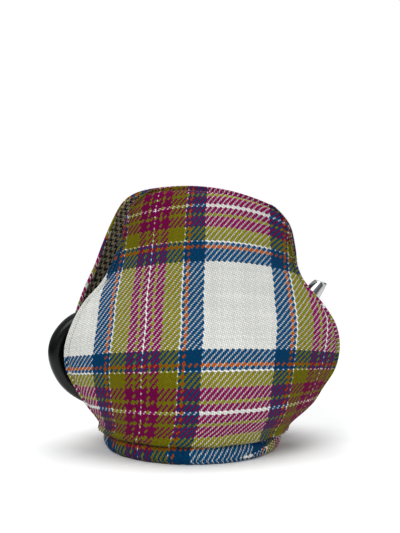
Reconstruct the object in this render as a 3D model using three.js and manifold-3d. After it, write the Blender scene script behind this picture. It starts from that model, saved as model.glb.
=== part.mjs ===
// A steel teapot in a padded tartan tea cosy. Millimetres, +Z up, spout towards +X, handle towards -X.
// The origin is the centre of the face that the pot stands on.
import * as THREE from 'three';
import * as BufferGeometryUtils from 'three/addons/utils/BufferGeometryUtils.js';
import Module from 'manifold-3d';

const wasm = await Module();
wasm.setup();

// ---- driving dimensions ----
const gap = 0.3;                  // between pieces that touch
const roundSegments = 32;         // around turned pieces

const wall = 1.2;                 // sheet steel
const baseHeight = 3.6;
const baseRadius = 53;
const bodyOutline = [             // outer radius and height of the pot's body
  [56, 3.9], [65, 15], [72.5, 29], [74.5, 43.5], [71, 61],
  [61, 80], [46, 98], [34, 108.5], [31.5, 113.5],
];
const mouthRadius = 31.5;
const rimTop = 117.1;
const rimBead = 1.7;

const lidRadius = 30.5;
const lidBase = 117.5;
const lidRise = 8;
const skirtRadius = 26.8;
const skirtDepth = 9;
const hingeX = -35.5;
const hingeZ = 119.1;
const pinRadius = 1.2;
const knuckleRadius = 2.6;
const knobRadius = 10.5;
const knobHeight = 17;

const spoutPath = [[58, 66], [74, 82], [87, 102], [99, 124], [112, 143]];
const spoutRadii = [17, 12.5, 9.8, 8.2, 5.7];
const spoutWall = 1;
const spoutLipLift = 2;           // the mouth is cut nearly level, not square to the tube

const handlePath = [
  [-60, 106], [-76, 113], [-92, 115.5], [-108, 109], [-119.5, 95],
  [-121.5, 79], [-114, 61], [-100, 48.5], [-86, 43.5],
];
const gripDepth = 7.6;            // half thickness, outwards
const gripWidth = 9;              // half thickness, across
const bracketHalfWidth = 7;
const bracketThickness = 1.8;

const outerThickness = 1.6;       // tartan cloth
const liningThickness = 1.1;
const padEdge = 1.1;              // wadding thickness at the rim, and in the middle
const padMiddle = 5;
const layerGap = 0.4;             // between the layers of a panel
const rimShare = 0.05;            // share of a panel at its rim that holds no wadding
const panelColumns = 13;
const panelRows = 15;
const crownParting = 1.1;         // half the room for the seam tape between the panels

const hemRadius = 72.6;           // middle of the gathered casing
const hemLean = -3;
const hemHalfWidth = 4.6;
const hemBottom = 0.6;
const hemTop = 13.6;
const elasticRadius = 2.2;

// ---- materials ----
const finish = (color, roughness, metalness) => (
  new THREE.MeshStandardMaterial({ color, roughness, metalness }));
const polishedSteel = finish(0xc9ccd0, 0.18, 1);
const brushedSteel = finish(0xb4b7bb, 0.35, 1);
const blackPlastic = finish(0x17181a, 0.28, 0);
const tartanWool = finish(0x7a6f4e, 0.95, 0);
const liningWool = finish(0x6e665a, 0.95, 0);
const padding = finish(0xe6e2d8, 1, 0);
const tapeCloth = finish(0x5a1a3e, 0.95, 0);
const elasticRubber = finish(0xe2ded6, 0.8, 0);

// ---- solids, cuts and joins ----
const group = new THREE.Group();

function addPiece(name, geometry, material) {
  const mesh = new THREE.Mesh(geometry, material);
  mesh.name = name;
  group.add(mesh);
}

function bareGeometry(geometry) {
  const bare = geometry.clone();
  bare.deleteAttribute('normal');
  bare.deleteAttribute('uv');
  return BufferGeometryUtils.mergeVertices(bare, 1e-4);
}

function toSolid(geometry) {
  const bare = bareGeometry(geometry);
  return new wasm.Manifold(new wasm.Mesh({
    numProp: 3,
    vertProperties: new Float32Array(bare.attributes.position.array),
    triVerts: new Uint32Array(bare.index.array),
  }));
}

function toGeometry(solid) {
  const mesh = solid.getMesh();
  const geometry = new THREE.BufferGeometry();
  geometry.setAttribute('position', new THREE.BufferAttribute(mesh.vertProperties, 3));
  geometry.setIndex(new THREE.BufferAttribute(mesh.triVerts, 1));
  return geometry;
}

function cut(geometry, ...tools) {
  return toGeometry(tools.reduce((solid, tool) => solid.subtract(toSolid(tool)), toSolid(geometry)));
}

function join(geometry, ...others) {
  return toGeometry(others.reduce((solid, other) => solid.add(toSolid(other)), toSolid(geometry)));
}

// a turned solid about +Z from an outline of [radius, height] points, which starts and ends on the axis
// or comes back to its first point
function turned(outline, segments = roundSegments) {
  const points = outline.map(([radius, height]) => new THREE.Vector2(radius, height));
  return bareGeometry(new THREE.LatheGeometry(points, segments).rotateX(Math.PI / 2));
}

// a turned ring: the outline closes on itself
const turnedRing = (outline, segments) => turned([...outline, outline[0]], segments);

function roundBar(radius, length, segments = 20) {
  return new THREE.CylinderGeometry(radius, radius, length, segments);
}

// a closed solid through rings of points, each ring with the same number of points
function ringLoft(rings, closedEnds = true) {
  const count = rings[0].length;
  const positions = rings.flat().flatMap((point) => [point.x, point.y, point.z]);
  const indices = [];
  const bands = closedEnds ? rings.length - 1 : rings.length;
  for (let band = 0; band < bands; band += 1) {
    const next = (band + 1) % rings.length;
    for (let i = 0; i < count; i += 1) {
      const j = (i + 1) % count;
      indices.push(band * count + i, band * count + j, next * count + j);
      indices.push(band * count + i, next * count + j, next * count + i);
    }
  }
  if (closedEnds) {
    for (let i = 1; i < count - 1; i += 1) {
      indices.push(0, i + 1, i);
      const last = (rings.length - 1) * count;
      indices.push(last, last + i, last + i + 1);
    }
  }
  const geometry = new THREE.BufferGeometry();
  geometry.setAttribute('position', new THREE.Float32BufferAttribute(positions, 3));
  geometry.setIndex(indices);
  return geometry;
}

// ---- the pot's body ----
const bodyCurve = new THREE.SplineCurve(
  bodyOutline.map(([radius, height]) => new THREE.Vector2(radius, height)),
);
const bodySteps = 14;

function bodySide(inset) {
  const side = [];
  for (let i = 0; i <= bodySteps; i += 1) {
    const point = bodyCurve.getPoint(i / bodySteps);
    const along = bodyCurve.getTangent(i / bodySteps);
    side.push([point.x - inset * along.y, point.y + inset * along.x]);
  }
  return side;
}

// the body as if it were solid, grown by a clearance, to shape what is welded to it
function bodyBlank(clearance) {
  const side = bodySide(-clearance);
  const top = side[side.length - 1];
  return turned([[0, side[0][1] - clearance], ...side, [0, top[1]]]);
}

function potBody() {
  const outside = bodySide(0);
  const inside = bodySide(wall).reverse();
  inside[0] = [mouthRadius - wall, outside[outside.length - 1][1]];
  const floorHeight = bodyOutline[0][1] + wall;
  inside[inside.length - 1] = [bodyOutline[0][0] - wall, floorHeight];
  const shell = turned([[0, bodyOutline[0][1]], ...outside, ...inside, [0, floorHeight]]);
  return cut(shell, spoutBore());
}

// ---- spout ----
const spoutCurve = new THREE.CatmullRomCurve3(spoutPath.map(([x, z]) => new THREE.Vector3(x, 0, z)));
const spoutSteps = 9;
const spoutSides = 18;

function spoutRing(share, inset) {
  const place = share * (spoutRadii.length - 1);
  const low = Math.min(Math.floor(place), spoutRadii.length - 2);
  const radius = THREE.MathUtils.lerp(spoutRadii[low], spoutRadii[low + 1], place - low) - inset;
  const centre = spoutCurve.getPoint(share);
  const along = spoutCurve.getTangent(share);
  const outward = new THREE.Vector3(along.z, 0, -along.x);
  const ring = [];
  for (let i = 0; i < spoutSides; i += 1) {
    const angle = (2 * Math.PI * i) / spoutSides;
    const point = centre.clone().addScaledVector(outward, radius * Math.cos(angle));
    point.y = radius * Math.sin(angle);
    if (share === 1) point.z += spoutLipLift * Math.cos(angle) * (radius / spoutRadii[low + 1]);
    ring.push(point);
  }
  return ring;
}

function spoutRings(inset) {
  const rings = [];
  for (let i = 0; i <= spoutSteps; i += 1) rings.push(spoutRing(i / spoutSteps, inset));
  return rings;
}

function spout() {
  const tube = ringLoft([...spoutRings(0), ...spoutRings(spoutWall).reverse()], false);
  return cut(tube, bodyBlank(gap));
}

// the hole through the body, inside the root of the spout
function spoutBore() {
  const direction = spoutCurve.getTangent(0);
  const start = spoutCurve.getPoint(0).addScaledVector(direction, -14);
  const bore = roundBar(spoutRadii[0] - 5, 60, 24);
  bore.applyQuaternion(new THREE.Quaternion().setFromUnitVectors(new THREE.Vector3(0, 1, 0), direction));
  return bore.translate(start.x, start.y, start.z);
}

// a disc pierced by rings of holes, on the inside of the opening
const strainerRadius = 10.6;
const strainerThickness = 0.8;
const strainerHoleRadius = 1.1;
const strainerRings = [[0, 1], [3.6, 5], [7.4, 9]];   // radius of each ring and its number of holes

function strainerPlate() {
  const plate = new THREE.Shape().absarc(0, 0, strainerRadius, 0, 2 * Math.PI);
  for (const [ringRadius, holes] of strainerRings) {
    for (let i = 0; i < holes; i += 1) {
      const angle = (2 * Math.PI * i) / holes;
      const centre = [ringRadius * Math.cos(angle), ringRadius * Math.sin(angle)];
      plate.holes.push(new THREE.Path().absarc(...centre, strainerHoleRadius, 0, 2 * Math.PI, true));
    }
  }
  const pressing = { depth: strainerThickness, bevelEnabled: false, curveSegments: 4 };
  const geometry = new THREE.ExtrudeGeometry(plate, pressing);
  const direction = spoutCurve.getTangent(0);
  const tip = new THREE.Quaternion().setFromUnitVectors(new THREE.Vector3(0, 0, 1), direction);
  geometry.applyQuaternion(tip);
  const seat = spoutCurve.getPoint(0).addScaledVector(direction, 6.5);
  return geometry.translate(seat.x, seat.y, seat.z);
}

// ---- base and rim ----
function baseDisc() {
  const edge = baseRadius + 1;
  return turned([
    [0, 0], [baseRadius, 0], [edge, 1],
    [edge, baseHeight - 0.8], [baseRadius, baseHeight], [0, baseHeight],
  ]);
}

function mouthRim() {
  const centre = [mouthRadius - 0.2, rimTop - rimBead];
  const outline = [];
  for (let i = 0; i < 8; i += 1) {
    const angle = (2 * Math.PI * i) / 8;
    outline.push([centre[0] + rimBead * Math.cos(angle), centre[1] + rimBead * Math.sin(angle)]);
  }
  return turnedRing(outline);
}

// ---- lid ----
function lidShell() {
  const steps = 5;
  const arc = (radius, rise) => {
    const points = [];
    for (let i = 0; i <= steps; i += 1) {
      const angle = (Math.PI / 2) * (i / steps);
      const across = i === steps ? 0 : radius * Math.cos(angle);
      points.push([across, lidBase + wall + rise * Math.sin(angle)]);
    }
    return points;
  };
  const outer = arc(lidRadius - 2, lidRise);
  const inner = arc(lidRadius - 2 - wall, lidRise - wall).reverse();
  const flangeTop = lidBase + wall;
  const flange = [[lidRadius - 2 - wall, lidBase], [lidRadius, lidBase], [lidRadius, flangeTop]];
  const shell = turned([...inner, ...flange, ...outer]);
  return cut(shell, roundBar(2, 40).rotateX(Math.PI / 2).translate(0, 0, lidBase + lidRise));
}

function lidSkirt() {
  const top = lidBase - gap;
  return turnedRing([
    [skirtRadius - wall, top - skirtDepth], [skirtRadius, top - skirtDepth], [skirtRadius, top - wall],
    [lidRadius - 2.6, top - wall], [lidRadius - 2.6, top], [skirtRadius - wall, top],
  ]);
}

const knobSeat = lidBase + wall + lidRise + gap;

function knobWasher() {
  return turnedRing([[2.3, knobSeat], [6.5, knobSeat], [6.5, knobSeat + 1], [2.3, knobSeat + 1]], 24);
}

function lidKnob() {
  const base = knobSeat + 1 + gap;
  const outline = [
    [0, 0.7], [2.2, 0.7], [2.2, 0], [5.6, 0], [5.2, 2.4], [6.6, 5.2],
    [9.8, 8.2], [knobRadius, 11.4], [9.2, 14.6], [5.6, 16.5], [0, knobHeight],
  ];
  return turned(outline.map(([radius, height]) => [radius, base + height]), 28);
}

function knobScrew() {
  const headBase = lidBase + lidRise - 3.2;
  const headTop = headBase + 2.6;
  const tip = knobSeat + 1.4;
  return turned([
    [0, headBase], [3.8, headBase], [3.8, headTop], [1.7, headTop], [1.7, tip], [0, tip],
  ], 20);
}

// ---- lid hinge ----
function knuckle(fromY, toY) {
  const outline = new THREE.Shape().absarc(0, 0, knuckleRadius, 0, 2 * Math.PI);
  outline.holes.push(new THREE.Path().absarc(0, 0, pinRadius + 0.1, 0, 2 * Math.PI, true));
  const rolled = { depth: toY - fromY, bevelEnabled: false, curveSegments: 12 };
  const barrel = new THREE.ExtrudeGeometry(outline, rolled);
  return barrel.rotateX(Math.PI / 2).translate(hingeX, toY, hingeZ);
}

const hingePinClearance = () => roundBar(pinRadius + 0.1, 40, 24).translate(hingeX, 0, hingeZ);

function hingeLeaf() {
  const plateHeight = 1.4;
  const plate = new THREE.BoxGeometry(5.4, 9, plateHeight);
  plate.translate(hingeX + 3.6, 0, lidBase + wall + gap + plateHeight / 2);
  const joined = join(knuckle(-4.5, 4.5), plate);
  return cut(joined, hingePinClearance());
}

function hingeBracket() {
  const arms = [];
  for (const side of [-1, 1]) {
    const inner = Math.min(side * 4.8, side * 9);
    arms.push(knuckle(inner, inner + 4.2));
    arms.push(new THREE.BoxGeometry(3, 4.2, 11).translate(hingeX - 2.2, side * 6.9, hingeZ - 5.6));
  }
  const saddle = new THREE.BoxGeometry(9, 18, 2.4).translate(hingeX + 0.8, 0, hingeZ - 10.6);
  const joined = join(saddle, ...arms);
  return cut(joined, bodyBlank(gap), rimBlank(), hingePinClearance());
}

// the rim's outer shape with clearance
function rimBlank() {
  const bar = roundBar(mouthRadius + rimBead + 0.2, 12, 48);
  return bar.rotateX(Math.PI / 2).translate(0, 0, rimTop - 0.5);
}

function hingePin() {
  const shank = roundBar(pinRadius, 19.4, 24);
  const heads = [-1, 1].map((side) => roundBar(pinRadius + 0.9, 0.9, 24).translate(0, side * 9.9, 0));
  return join(shank, ...heads).translate(hingeX, 0, hingeZ);
}

// ---- handle ----
const handleCurve = new THREE.CatmullRomCurve3(handlePath.map(([x, z]) => new THREE.Vector3(x, 0, z)));
const handleSteps = 16;

function handleGrip() {
  const sides = 12;
  const rings = [];
  for (let i = 0; i <= handleSteps; i += 1) {
    const share = i / handleSteps;
    const centre = handleCurve.getPoint(share);
    const along = handleCurve.getTangent(share);
    const outward = new THREE.Vector3(along.z, 0, -along.x);
    const swell = 0.82 + 0.18 * Math.sin(Math.PI * share);
    const ring = [];
    for (let j = 0; j < sides; j += 1) {
      const angle = (2 * Math.PI * j) / sides;
      const point = centre.clone().addScaledVector(outward, swell * gripDepth * Math.cos(angle));
      point.y = swell * gripWidth * Math.sin(angle);
      ring.push(point);
    }
    rings.push(ring);
  }
  const upperSlot = bracketBlank(0, 0.25);
  const lowerSlot = bracketBlank(1, 0.25);
  return cut(ringLoft(rings), upperSlot, lowerSlot, ...[0, 1].map((end) => screwBlank(end, 0.2)));
}

// the flat tongue of a bracket, which the end of the grip is slotted over
const tongueLength = 13;

function handleEnd(end) {
  const point = handleCurve.getPoint(end);
  const inward = handleCurve.getTangent(end).multiplyScalar(end === 0 ? 1 : -1);
  return { point, inward };
}

function alongHandleEnd(geometry, end, distance) {
  const { point, inward } = handleEnd(end);
  geometry.applyQuaternion(new THREE.Quaternion().setFromUnitVectors(new THREE.Vector3(1, 0, 0), inward));
  const seat = point.clone().addScaledVector(inward, distance);
  return geometry.translate(seat.x, seat.y, seat.z);
}

// the screws go in from above at the top of the handle and from below at its foot
const headSide = (end) => (end === 0 ? 1 : -1);

function bracketBlank(end, clearance) {
  const length = 60 + tongueLength + clearance;
  const width = 2 * (bracketHalfWidth - 3 + clearance);
  const bar = new THREE.BoxGeometry(length, width, bracketThickness + 2 * clearance);
  return alongHandleEnd(bar, end, tongueLength + clearance - length / 2);
}

function screwBlank(end, clearance) {
  const shank = roundBar(1.5 + clearance, 30, 16).rotateX(Math.PI / 2);
  const head = roundBar(3 + clearance, 12, 16).rotateX(Math.PI / 2).translate(0, 0, headSide(end) * 10);
  return alongHandleEnd(join(shank, head), end, tongueLength - 5);
}

function handleBracket(end) {
  const tongue = new THREE.BoxGeometry(34, 2 * (bracketHalfWidth - 3), bracketThickness);
  alongHandleEnd(tongue, end, tongueLength - 17);
  const { point, inward } = handleEnd(end);
  const plate = new THREE.BoxGeometry(26, 2 * bracketHalfWidth + 4, 12);
  plate.translate(point.x - inward.x * 16, 0, point.z - inward.z * 16);
  const saddle = toGeometry(toSolid(plate).intersect(toSolid(bodyBlank(gap + bracketThickness))));
  const hole = alongHandleEnd(roundBar(1.7, 30).rotateX(Math.PI / 2), end, tongueLength - 5);
  return cut(join(saddle, tongue), bodyBlank(gap), hole);
}

function handleScrew(end) {
  const shank = roundBar(1.5, 9, 16).rotateX(Math.PI / 2);
  const head = roundBar(2.9, 1.6, 16).rotateX(Math.PI / 2).translate(0, 0, headSide(end) * 5);
  return alongHandleEnd(join(shank, head), end, tongueLength - 5);
}

// ---- cosy panels ----
// Level by level from the hem up: height and depth at the middle, depth at the side edges, how far the
// side edges hang below the middle, how much higher the spout end is than the handle end, half width,
// and how far the level leans towards the spout.
const panelLevels = [
  { height: 15, depth: 74, edge: 1.2, droop: 2, tilt: 0, half: 79, lean: -2.5 },
  { height: 28, depth: 82, edge: 4, droop: 5, tilt: -2, half: 87.5, lean: 0.5 },
  { height: 43, depth: 86, edge: 13, droop: 5, tilt: -3, half: 100.5, lean: 2 },
  { height: 59, depth: 84.5, edge: 17, droop: 5.5, tilt: -2.5, half: 110, lean: 2.5 },
  { height: 78, depth: 78, edge: 20, droop: 7.5, tilt: -2.5, half: 119, lean: 3.5 },
  { height: 97, depth: 70, edge: 20, droop: 7.5, tilt: -2.5, half: 121.5, lean: 5 },
  { height: 115, depth: 61.5, edge: 17, droop: 6, tilt: -3, half: 117, lean: 7 },
  { height: 132, depth: 54, edge: 14, droop: 5, tilt: -3, half: 106.5, lean: 7 },
  { height: 149, depth: 48, edge: 11, droop: 5.5, tilt: -3.5, half: 92, lean: 8 },
  { height: 167, depth: 42, edge: 7, droop: 6.5, tilt: -6, half: 82, lean: 9 },
  { height: 186, depth: 32.5, edge: 5, droop: 7, tilt: -8, half: 77, lean: 10.5 },
  { height: 206, depth: 20.5, edge: 5, droop: 8, tilt: -9.5, half: 72.5, lean: 12 },
  { height: 219, depth: 14, edge: 5, droop: 9.4, tilt: -9, half: 66, lean: 14 },
  { height: 228.2, depth: 5.2, edge: 4.6, droop: 9.9, tilt: -7.5, half: 54.5, lean: 15.5 },
];
// the back panel is cut fuller over the neck, so its rim shows past the front one; what it adds to
// each level
const backAdds = {
  droop: [0, 0, 0, 0, 0, -1, -2.5, -4.5, -6.5, -7, -6.5, -4, -2, 0],
  tilt: [0, 0, 0, 0, -1, -1.5, -2.5, -4, -5, -5.5, -4.5, -2.5, -1.5, 0],
  half: [0, 0, 0, 0, -1, -2, -2, 0, 4, 6.5, 6, 4, 2, 0],
  lean: [0, 0, 0, 0, 1, 2, 2, 1, -1.5, -2.5, -1.5, -0.5, -0.3, 0],
};

function panelCurves(adds) {
  const curves = {};
  for (const key of Object.keys(panelLevels[0])) {
    const points = panelLevels.map((level, i) => new THREE.Vector2(i, level[key] + (adds[key]?.[i] ?? 0)));
    curves[key] = new THREE.SplineCurve(points);
  }
  return curves;
}

const frontCurves = panelCurves({});
const backCurves = panelCurves(backAdds);

// a point of a panel's outer face: across runs from -1 to 1 and up from 0 to 1.
// Each level is an arc through its two side edges and its middle.
function panelPoint(curves, side, across, up) {
  const level = {};
  for (const [key, curve] of Object.entries(curves)) level[key] = curve.getPoint(up).y;
  const rise = level.depth - level.edge;
  const radius = (level.half ** 2 + rise ** 2) / (2 * rise);
  const slope = Math.asin(level.half / radius);
  const halfAngle = rise > level.half ? Math.PI - slope : slope;
  const angle = across * halfAngle;
  return new THREE.Vector3(
    level.lean + radius * Math.sin(angle),
    side * (level.depth - radius * (1 - Math.cos(angle))),
    level.height - level.droop * across ** 2 + level.tilt * across,
  );
}

// the same point moved into the panel by a depth
function insetPoint(curves, side, across, up, depth) {
  const step = 0.002;
  const a = THREE.MathUtils.clamp(across, -1 + step, 1 - step);
  const u = THREE.MathUtils.clamp(up, step, 1 - step);
  const acrossStep = panelPoint(curves, side, a + step, u).sub(panelPoint(curves, side, a - step, u));
  const upStep = panelPoint(curves, side, a, u + step).sub(panelPoint(curves, side, a, u - step));
  const inward = acrossStep.cross(upStep).normalize().multiplyScalar(side);
  const point = panelPoint(curves, side, across, up).addScaledVector(inward, depth);
  if (side * point.y < crownParting) point.y = side * crownParting;
  return point;
}

// wadding thickness: thin at the rim, full in the middle
function padThickness(across, up) {
  const fromRim = Math.min(1 - Math.abs(across), up, 1 - up);
  return THREE.MathUtils.lerp(padEdge, padMiddle, THREE.MathUtils.smoothstep(fromRim, 0, 0.25));
}

// places of the grid lines from 0 to 1: one line at each edge of the rim, the rest evenly between
function gridPlaces(count) {
  const places = [0];
  for (let i = 0; i <= count - 2; i += 1) {
    places.push(THREE.MathUtils.lerp(rimShare, 1 - rimShare, i / (count - 2)));
  }
  return [...places, 1];
}

// a closed sheet between two depths of a panel, on the same grid lines as the other layers
function panelLayer(curves, side, outerDepth, innerDepth, keepsRim) {
  const trim = (places) => (keepsRim ? places : places.slice(1, -1));
  const columns = trim(gridPlaces(panelColumns)).map((place) => 2 * place - 1);
  const rows = trim(gridPlaces(panelRows));
  const face = (depthAt) => rows.map((up) => (
    columns.map((across) => insetPoint(curves, side, across, up, depthAt(across, up)))));
  return sheetSolid(face(outerDepth), face(innerDepth), side > 0);
}

// a closed solid between two faces, each a list of rows of points; both split their cells the same way
function sheetSolid(outer, inner, turnedOver) {
  const rows = outer.length;
  const columns = outer[0].length;
  const indices = [];
  const at = (layer, row, column) => (layer * rows + row) * columns + column;
  const addTriangle = (a, b, c) => indices.push(...(turnedOver ? [a, c, b] : [a, b, c]));
  const addWall = (rowA, columnA, rowB, columnB) => {
    addTriangle(at(1, rowA, columnA), at(1, rowB, columnB), at(0, rowB, columnB));
    addTriangle(at(1, rowA, columnA), at(0, rowB, columnB), at(0, rowA, columnA));
  };
  for (let row = 0; row < rows - 1; row += 1) {
    for (let column = 0; column < columns - 1; column += 1) {
      addTriangle(at(0, row, column), at(0, row, column + 1), at(0, row + 1, column + 1));
      addTriangle(at(0, row, column), at(0, row + 1, column + 1), at(0, row + 1, column));
      addTriangle(at(1, row, column), at(1, row + 1, column + 1), at(1, row, column + 1));
      addTriangle(at(1, row, column), at(1, row + 1, column), at(1, row + 1, column + 1));
    }
    addWall(row + 1, 0, row, 0);
    addWall(row, columns - 1, row + 1, columns - 1);
  }
  for (let column = 0; column < columns - 1; column += 1) {
    addWall(0, column, 0, column + 1);
    addWall(rows - 1, column + 1, rows - 1, column);
  }
  const geometry = new THREE.BufferGeometry();
  const positions = [...outer, ...inner].flat().flatMap((point) => [point.x, point.y, point.z]);
  geometry.setAttribute('position', new THREE.Float32BufferAttribute(positions, 3));
  geometry.setIndex(indices);
  return geometry;
}

function addPanel(name, curves, side) {
  const padStart = () => outerThickness + layerGap;
  const padEnd = (across, up) => padStart() + padThickness(across, up);
  const liningStart = (across, up) => padEnd(across, up) + layerGap;
  const liningEnd = (across, up) => liningStart(across, up) + liningThickness;
  addPiece(`${name}_outer`, panelLayer(curves, side, () => 0, () => outerThickness, true), tartanWool);
  addPiece(`${name}_wadding`, panelLayer(curves, side, padStart, padEnd, false), padding);
  addPiece(`${name}_lining`, panelLayer(curves, side, liningStart, liningEnd, true), liningWool);
}

// ---- seams and hem ----
// the tape between the two panels, over the crown
function crownTape() {
  const halfThickness = crownParting - gap;
  const steps = 16;
  const rings = [];
  for (let i = 0; i <= steps; i += 1) {
    const across = 0.94 * ((2 * i) / steps - 1);
    const top = panelPoint(frontCurves, -1, across, 1);
    const ring = [[-halfThickness, -9], [halfThickness, -9], [halfThickness, 0.4], [-halfThickness, 0.4]];
    rings.push(ring.map(([y, z]) => new THREE.Vector3(top.x, y, top.z + z)));
  }
  return ringLoft(rings);
}

// the short seam under a side opening, between the two panels
function sideTack(end) {
  const halfThickness = crownParting - gap - 0.1;
  const steps = 4;
  const rings = [];
  for (let i = 0; i <= steps; i += 1) {
    const edge = panelPoint(frontCurves, -1, end, 0.01 + 0.085 * (i / steps));
    const ring = [[0.4, 1], [-7, 1], [-7, -1], [0.4, -1]].map(([x, y]) => (
      new THREE.Vector3(edge.x + end * x, end * y * halfThickness, edge.z)));
    rings.push(ring);
  }
  return ringLoft(rings);
}

// the gathered casing: a rolled channel with its slit on the inside, so the elastic can be threaded
function hemCasing() {
  const middle = (hemBottom + hemTop) / 2;
  const halfHeight = (hemTop - hemBottom) / 2;
  const steps = 9;
  const arc = (inset) => {
    const points = [];
    for (let i = 0; i <= steps; i += 1) {
      const angle = THREE.MathUtils.degToRad(-160 + (320 * i) / steps);
      points.push([
        hemRadius + (hemHalfWidth - inset) * Math.cos(angle),
        middle + (halfHeight - inset) * Math.sin(angle),
      ]);
    }
    return points;
  };
  return turnedRing([...arc(0), ...arc(1.7).reverse()]).translate(hemLean, 0, 0);
}

function hemElastic() {
  const middle = (hemBottom + hemTop) / 2;
  const outline = [];
  for (let i = 0; i < 6; i += 1) {
    const angle = (2 * Math.PI * i) / 6;
    const radius = hemRadius + 0.8 * elasticRadius * Math.cos(angle);
    outline.push([radius, middle + elasticRadius * Math.sin(angle)]);
  }
  return turnedRing(outline).translate(hemLean, 0, 0);
}

// ---- the assembly ----
addPiece('pot_body', potBody(), brushedSteel);
addPiece('base_disc', baseDisc(), brushedSteel);
addPiece('mouth_rim', mouthRim(), polishedSteel);
addPiece('strainer_plate', strainerPlate(), brushedSteel);
addPiece('spout', spout(), polishedSteel);
addPiece('handle_upper_bracket', handleBracket(0), brushedSteel);
addPiece('handle_lower_bracket', handleBracket(1), brushedSteel);
addPiece('handle_grip', handleGrip(), blackPlastic);
addPiece('handle_upper_screw', handleScrew(0), polishedSteel);
addPiece('handle_lower_screw', handleScrew(1), polishedSteel);
addPiece('hinge_bracket', hingeBracket(), brushedSteel);
addPiece('hinge_pin', hingePin(), polishedSteel);
addPiece('hinge_leaf', hingeLeaf(), brushedSteel);
addPiece('lid_shell', lidShell(), polishedSteel);
addPiece('lid_skirt', lidSkirt(), brushedSteel);
addPiece('knob_washer', knobWasher(), polishedSteel);
addPiece('lid_knob', lidKnob(), blackPlastic);
addPiece('knob_screw', knobScrew(), brushedSteel);
addPanel('front', frontCurves, -1);
addPanel('back', backCurves, 1);
addPiece('crown_tape', crownTape(), tapeCloth);
addPiece('left_seam_tack', sideTack(-1), tapeCloth);
addPiece('right_seam_tack', sideTack(1), tapeCloth);
addPiece('hem_casing', hemCasing(), tartanWool);
addPiece('hem_elastic', hemElastic(), elasticRubber);

export default group;
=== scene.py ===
from functools import partial
from math import asin, atan2, cos, pi, radians, sin
import bpy
import numpy as np
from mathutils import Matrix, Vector


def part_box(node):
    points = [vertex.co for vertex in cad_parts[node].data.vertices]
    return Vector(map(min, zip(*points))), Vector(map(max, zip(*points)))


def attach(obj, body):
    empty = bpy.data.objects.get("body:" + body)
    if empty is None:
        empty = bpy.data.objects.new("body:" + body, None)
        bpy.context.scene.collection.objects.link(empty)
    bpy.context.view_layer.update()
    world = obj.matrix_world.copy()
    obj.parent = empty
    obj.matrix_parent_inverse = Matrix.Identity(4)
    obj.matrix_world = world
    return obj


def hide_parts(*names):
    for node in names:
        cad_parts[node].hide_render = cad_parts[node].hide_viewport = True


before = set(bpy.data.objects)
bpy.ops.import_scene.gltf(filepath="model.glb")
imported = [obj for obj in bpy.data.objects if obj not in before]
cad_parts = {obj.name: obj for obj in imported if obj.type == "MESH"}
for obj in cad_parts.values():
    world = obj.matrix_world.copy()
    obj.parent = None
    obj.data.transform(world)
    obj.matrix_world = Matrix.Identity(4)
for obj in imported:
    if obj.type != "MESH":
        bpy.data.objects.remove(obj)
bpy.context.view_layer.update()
scene = bpy.context.scene
mm = 0.001
print("teapot and cosy: frame loaded")


# ---------- shared helpers

def linearColour(hexCode):
    channels = [int(hexCode[i:i + 2], 16) / 255 for i in (1, 3, 5)]
    return tuple(c / 12.92 if c <= 0.04045 else ((c + 0.055) / 1.055) ** 2.4 for c in channels) + (1.0,)


# the one setting that most nodes of a kind are given
mainSetting = {"Math": "operation", "VectorMath": "operation", "Mix": "data_type", "UVMap": "uv_map",
               "TexNoise": "noise_dimensions", "TexWhiteNoise": "noise_dimensions",
               "TexWave": "bands_direction", "MapRange": "interpolation_type"}


def setInputs(node, links):
    # "From" and "To" each give both ends of a range
    for key, value in links.items():
        if key in ("From", "To"):
            setInputs(node, {key + " Min": value[0], key + " Max": value[1]})
        elif isinstance(value, bpy.types.Node):
            node.id_data.links.new(value.outputs[0], node.inputs[key])
        elif isinstance(value, bpy.types.NodeSocket):
            node.id_data.links.new(value, node.inputs[key])
        else:
            node.inputs[key].default_value = value


def addNode(tree, kind, *given):
    # given: the plain word of the kind's main setting, if it needs one, and its links
    node = tree.nodes.new("ShaderNode" + kind)
    for part in given:
        if isinstance(part, str):
            setattr(node, mainSetting[kind], part)
        else:
            setInputs(node, part)
    return node


def startMaterial(name, settings):
    material = bpy.data.materials.new(name)
    material.use_nodes = True
    tree = material.node_tree
    shader = tree.nodes["Principled BSDF"]
    setInputs(shader, settings)
    return material, partial(addNode, tree), shader


def setStops(ramp, stops, interpolation="LINEAR"):
    ramp.color_ramp.interpolation = interpolation
    elements = ramp.color_ramp.elements
    while len(elements) < len(stops):
        elements.new(0.5)
    for element, (place, colour) in zip(elements, stops):
        element.position = place
        element.color = linearColour(colour)


def makePiece(name, points, faces, body, material, replaced=(), uv=None):
    mesh = bpy.data.meshes.new(name)
    mesh.from_pydata([tuple(p) for p in points], [], [tuple(f) for f in faces])
    if uv is not None:
        layer = mesh.uv_layers.new(name="cloth")
        corner = np.zeros(len(mesh.loops), np.int32)
        mesh.loops.foreach_get("vertex_index", corner)
        layer.data.foreach_set("uv", np.asarray(uv, np.float32)[corner].ravel())
    mesh.validate()
    mesh.shade_smooth()
    piece = bpy.data.objects.new(name, mesh)
    scene.collection.objects.link(piece)
    piece.data.materials.append(material)
    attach(piece, body)
    if replaced:
        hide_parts(*replaced)
    return piece


def addModifier(piece, kind, **settings):
    modifier = piece.modifiers.new(kind.title(), kind)
    for key, value in settings.items():
        setattr(modifier, key, value)
    return modifier


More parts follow.
